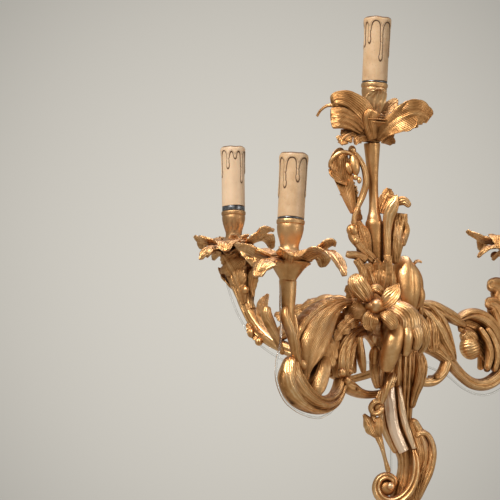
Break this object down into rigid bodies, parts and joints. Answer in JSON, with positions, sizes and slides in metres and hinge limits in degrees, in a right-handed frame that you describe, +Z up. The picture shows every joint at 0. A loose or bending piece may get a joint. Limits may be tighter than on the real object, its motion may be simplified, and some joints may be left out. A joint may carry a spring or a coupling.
{
  "type": "table candelabra",
  "caption": "Rococo scrolled bronze table candelabra: side arms and a central light, leaf drip pans, electric lampholders under dripped candle sleeves.",
  "frame": {"origin": "centre of the felt under the base, on the table", "axes": "+Z up along the stem, front of the candelabra towards -Y, +X to the right seen from the front"},
  "size_m": [0.4207, 0.3316, 0.605],
  "materials": {
    "gilt_bronze": "old burnished gilding with dark recesses",
    "pale_brass": "satin, paler than the castings",
    "steel": "zinc grey",
    "ivory_sleeve": "ivory with brown in the drips",
    "black_moulding": "moulded, satin",
    "felt": "pressed felt",
    "clear_flex": "clear flexible sheath"
  },
  "bodies": {
    "frame": {"base_casting": "gilt_bronze", "lower_stem": "gilt_bronze", "hub_casting": "gilt_bronze", "rosette": "gilt_bronze", "lobed_bud": "gilt_bronze", "leaf_drape": "gilt_bronze", "upper_stem": "gilt_bronze", "stem_leaf_left": "gilt_bronze", "stem_leaf_right": "gilt_bronze", "tendril": "gilt_bronze", "arm_front": "gilt_bronze", "arm_left": "gilt_bronze", "arm_right": "gilt_bronze", "calyx_front": "gilt_bronze", "calyx_left": "gilt_bronze", "calyx_right": "gilt_bronze", "calyx_top": "gilt_bronze", "pan_front": "gilt_bronze", "pan_left": "gilt_bronze", "pan_right": "gilt_bronze", "pan_top": "gilt_bronze", "cable_gland": "pale_brass", "rod_nut": "pale_brass", "nozzle_front": "pale_brass", "nozzle_left": "pale_brass", "nozzle_right": "pale_brass", "nozzle_top": "pale_brass", "socket_shell_front": "pale_brass", "socket_shell_left": "pale_brass", "socket_shell_right": "pale_brass", "socket_shell_top": "pale_brass", "base_cover": "steel", "lower_rod": "steel", "rod_washer": "steel", "upper_rod": "steel", "arm_screw_front": "steel", "arm_screw_left": "steel", "arm_screw_right": "steel", "nipple_front": "steel", "nipple_left": "steel", "nipple_right": "steel", "seat_ring_front": "steel", "seat_ring_left": "steel", "seat_ring_right": "steel", "seat_ring_top": "steel", "lampholder_front": "black_moulding", "lampholder_left": "black_moulding", "lampholder_right": "black_moulding", "lampholder_top": "black_moulding", "felt_pad": "felt", "lead_top": "clear_flex", "lead_front": "clear_flex", "lead_left": "clear_flex", "lead_right": "clear_flex"},
    "sleeve_front": {"candle_sleeve_front": "ivory_sleeve"},
    "sleeve_left": {"candle_sleeve_left": "ivory_sleeve"},
    "sleeve_right": {"candle_sleeve_right": "ivory_sleeve"},
    "sleeve_top": {"candle_sleeve_top": "ivory_sleeve"}
  },
  "joints": [
    {"name": "sleeve_slide_front", "type": "slide", "parent": "frame", "child": "sleeve_front", "axis": [0.0523, -0.0087, 0.9986], "range_m": [0, 0.069]},
    {"name": "sleeve_slide_left", "type": "slide", "parent": "frame", "child": "sleeve_left", "axis": [-0.014, -0.0087, 0.9999], "range_m": [0, 0.074]},
    {"name": "sleeve_slide_right", "type": "slide", "parent": "frame", "child": "sleeve_right", "axis": [0.0087, -0.0087, 0.9999], "range_m": [0, 0.072]},
    {"name": "sleeve_slide_top", "type": "slide", "parent": "frame", "child": "sleeve_top", "axis": [0.0486, -0.1045, 0.9933], "range_m": [0, 0.072]}
  ]
}
